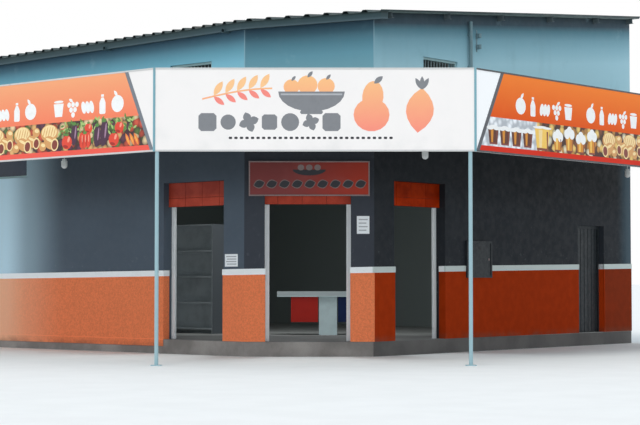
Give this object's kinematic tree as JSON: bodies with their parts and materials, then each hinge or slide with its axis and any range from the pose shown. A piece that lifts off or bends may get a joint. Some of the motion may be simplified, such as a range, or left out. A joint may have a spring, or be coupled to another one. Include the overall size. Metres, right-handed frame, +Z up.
{
  "type": "single-storey corner supermarket building",
  "caption": "Single-storey corner shop building with a chamfered entrance, a deep canopy with a sign fascia on slender posts, and a ribbed mono-pitch roof.",
  "frame": {"origin": "centre of the walls' rectangle, on the underside of the floor slab at the lowest ground level", "axes": "+X along the front wall towards the chamfered corner, -Y out of the front wall, +X out of the side wall, +Z up"},
  "size_m": [14.3172, 13.0933, 6.6625],
  "materials": {
    "concrete": "matt cement plinth and floor",
    "wall_paint": "satin paint on plaster, dark blue-grey below and pale above",
    "dado_orange": "rough orange plaster",
    "dado_red": "smooth red-orange paint",
    "white_paint": "satin white paint",
    "red_tile": "glazed red-orange tiles",
    "shutter_steel": "pale galvanised steel",
    "sign_silver": "satin",
    "sign_red": "printed red sheet",
    "door_grey": "dark grey paint",
    "galvanised": "weathered galvanised steel",
    "frame_paint": "pale painted steel",
    "roof_sheet": "weathered coated steel sheet",
    "gutter_grey": "grey-green paint",
    "post_blue": "pale blue-grey paint",
    "lamp_white": "opal white",
    "fascia_orange": "printed sheet, orange with a picture strip",
    "fascia_white": "white printed sheet",
    "trim_pale": "pale trim",
    "counter_white": "white laminate and sheet",
    "shelf_grey": "grey enamelled steel"
  },
  "bodies": {
    "building": {"floor_slab": "concrete", "front_wall_left": "wall_paint", "front_wall_pier": "wall_paint", "front_wall_upper": "wall_paint", "corner_pier_left": "wall_paint", "corner_pier_right": "wall_paint", "corner_wall_upper": "wall_paint", "side_wall_front_pier": "wall_paint", "side_wall_middle": "wall_paint", "side_wall_rear": "wall_paint", "side_wall_upper": "wall_paint", "side_door_head": "wall_paint", "back_wall": "wall_paint", "left_party_wall": "wall_paint", "dado_front": "dado_orange", "dado_side": "dado_red", "white_band": "white_paint", "tiled_transoms": "red_tile", "roller_shutters": "shutter_steel", "sign_frame_bars": "sign_silver", "sign_panel": "sign_red", "side_door_frame": "door_grey", "meter_box": "door_grey", "service_mast": "galvanised", "roof_beams": "galvanised", "roof_purlins": "galvanised", "canopy_beams": "galvanised", "fascia_frame_front": "galvanised", "fascia_frame_corner": "galvanised", "fascia_frame_side": "galvanised", "window_frames": "frame_paint", "roof_sheets": "roof_sheet", "canopy_sheets_front": "roof_sheet", "canopy_sheets_corner": "roof_sheet", "canopy_sheets_side": "roof_sheet", "eave_gutter": "gutter_grey", "canopy_posts": "post_blue", "canopy_lamps": "lamp_white", "fascia_front": "fascia_orange", "fascia_side": "fascia_orange", "fascia_corner": "fascia_white", "fascia_trim": "trim_pale", "checkout_counter": "counter_white", "shelf_unit": "shelf_grey"},
    "side_door": {"side_door": "door_grey"}
  },
  "joints": [
    {"name": "side_door_hinge", "type": "hinge", "parent": "building", "child": "side_door", "pos_m": [5.32, 3.77, 1.3], "axis": [0, 0, -1], "range_deg": [0, 90]}
  ]
}
